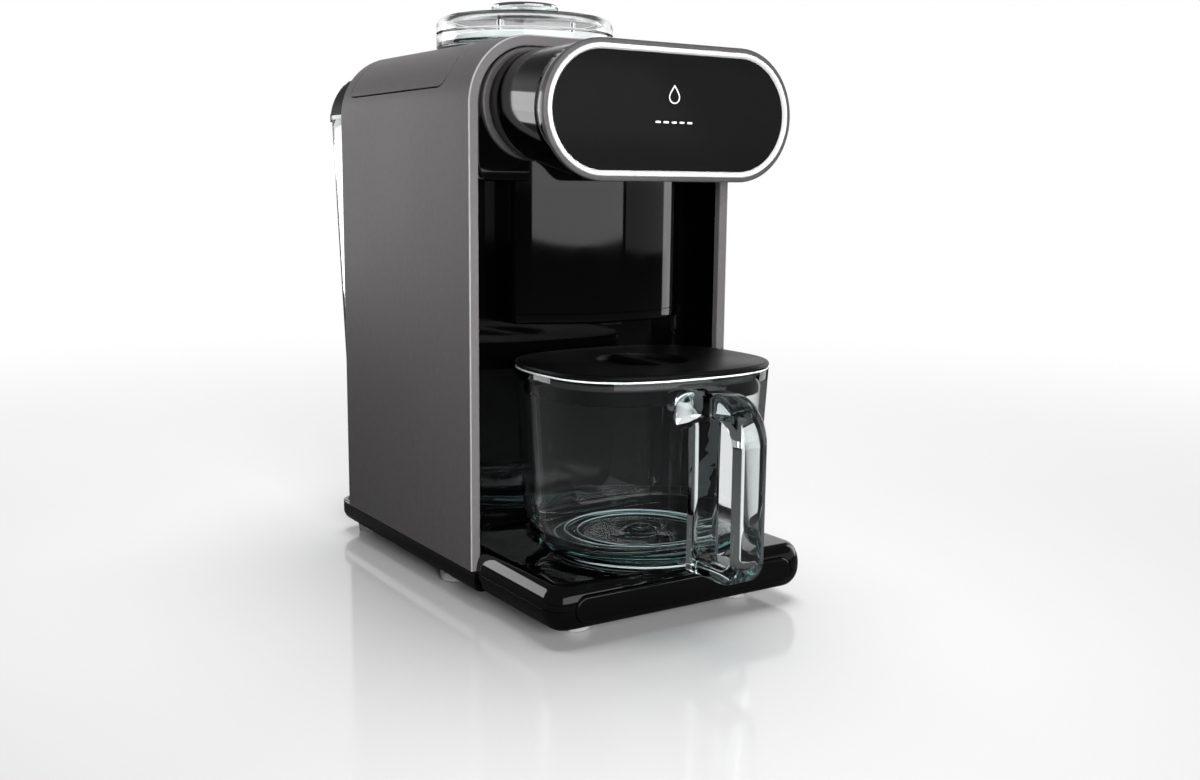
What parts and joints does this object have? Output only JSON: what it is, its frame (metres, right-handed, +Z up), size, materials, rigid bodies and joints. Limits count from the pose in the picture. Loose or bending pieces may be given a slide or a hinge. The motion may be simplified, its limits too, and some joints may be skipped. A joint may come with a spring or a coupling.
{
  "type": "bean and nut drink brewer",
  "caption": "Counter-top electric brewer with round-ended control head, glass carafe under a column, rear water tank and clear hopper on a hinged hood.",
  "frame": {"origin": "on the standing plane under the middle of the whole footprint", "axes": "+Z up, -Y to the front where the carafe stands, +X to the right seen from the front"},
  "size_m": [0.178, 0.37, 0.351],
  "materials": {
    "shell_paint": "satin warm grey paint",
    "trim_grey": "satin dark grey",
    "chrome": "polished",
    "black_gloss": "high gloss black",
    "black_matte": "fine moulded texture",
    "panel_glass": "smoked touch panel",
    "clear_glass": "thick moulded glass, teal in section",
    "clear_plastic": "clear moulded plastic",
    "frosted_white": "translucent white",
    "steel": "brushed",
    "aluminium": "die cast",
    "brass": "turned",
    "rubber_black": "soft",
    "rubber_grey": "soft grey",
    "silicone": "translucent silicone",
    "board_green": "solder-masked board",
    "motor_steel": "zinc plated"
  },
  "bodies": {
    "machine": {"outer_shell": "shell_paint", "base_pan": "black_gloss", "rear_cover": "black_matte", "front_fascia": "black_gloss", "top_deck": "black_matte", "cavity_liner": "black_gloss", "column_cover": "black_gloss", "head_housing": "black_gloss", "head_collar": "trim_grey", "head_bezel": "trim_grey", "head_trim_ring": "chrome", "control_glass": "panel_glass", "control_board": "board_green", "tray_base": "black_gloss", "warming_plate": "black_gloss", "rubber_feet": "rubber_grey", "case_screws": "steel", "hinge_pin": "steel", "motor": "motor_steel", "motor_bracket": "steel", "chamber": "steel", "chamber_heater": "brass", "chamber_seal": "silicone", "shaft_bushing": "brass", "water_pump": "frosted_white", "flow_heater": "aluminium", "thermal_fuse": "frosted_white", "water_hoses": "silicone", "outlet_pipe": "steel", "drain_valve": "brass", "dispensing_nozzle": "black_matte", "power_board": "board_green", "cord_gland": "rubber_black", "tank_seat": "black_matte"},
    "blades": {"blade": "steel", "blade_shaft": "steel", "drive_coupling": "black_matte"},
    "hood": {"hood_cover": "shell_paint", "hopper_jar": "clear_plastic", "hopper_gasket": "rubber_black"},
    "lid": {"hopper_lid": "clear_plastic", "hopper_knob": "chrome", "lid_plug": "frosted_white", "lid_posts": "chrome"},
    "tank": {"water_tank": "clear_plastic", "tank_valve": "frosted_white", "tank_seal": "rubber_black", "tank_hinge_pins": "steel"},
    "tank_cap": {"tank_lid": "black_gloss"},
    "drawer": {"drip_drawer": "black_matte", "drawer_front": "black_gloss"},
    "carafe": {"carafe_jug": "clear_glass"},
    "carafe_cap": {"carafe_lid": "black_matte", "carafe_lid_seal": "rubber_black"}
  },
  "joints": [
    {"name": "blade_spin", "type": "hinge", "parent": "machine", "child": "blades", "pos_m": [0, 0.048, 0.2], "axis": [0, 0, 1], "continuous": true},
    {"name": "hood_hinge", "type": "hinge", "parent": "machine", "child": "hood", "pos_m": [0.063, 0.053, 0.31747], "axis": [0, 1, 0], "range_deg": [0, 70]},
    {"name": "hopper_lid_lift", "type": "slide", "parent": "hood", "child": "lid", "axis": [0, 0, 1], "range_m": [0, 0.05]},
    {"name": "tank_lift", "type": "slide", "parent": "machine", "child": "tank", "axis": [0, 0, 1], "range_m": [0, 0.12]},
    {"name": "tank_lid_hinge", "type": "hinge", "parent": "tank", "child": "tank_cap", "pos_m": [0, 0.1368, 0.3105], "axis": [1, 0, 0], "range_deg": [0, 80]},
    {"name": "drawer_slide", "type": "slide", "parent": "machine", "child": "drawer", "axis": [0, -1, 0], "range_m": [0, 0.09]},
    {"name": "carafe_slide", "type": "slide", "parent": "machine", "child": "carafe", "axis": [0, -1, 0], "range_m": [0, 0.16]},
    {"name": "carafe_lid_lift", "type": "slide", "parent": "carafe", "child": "carafe_cap", "axis": [0, 0, 1], "range_m": [0, 0.016]}
  ]
}
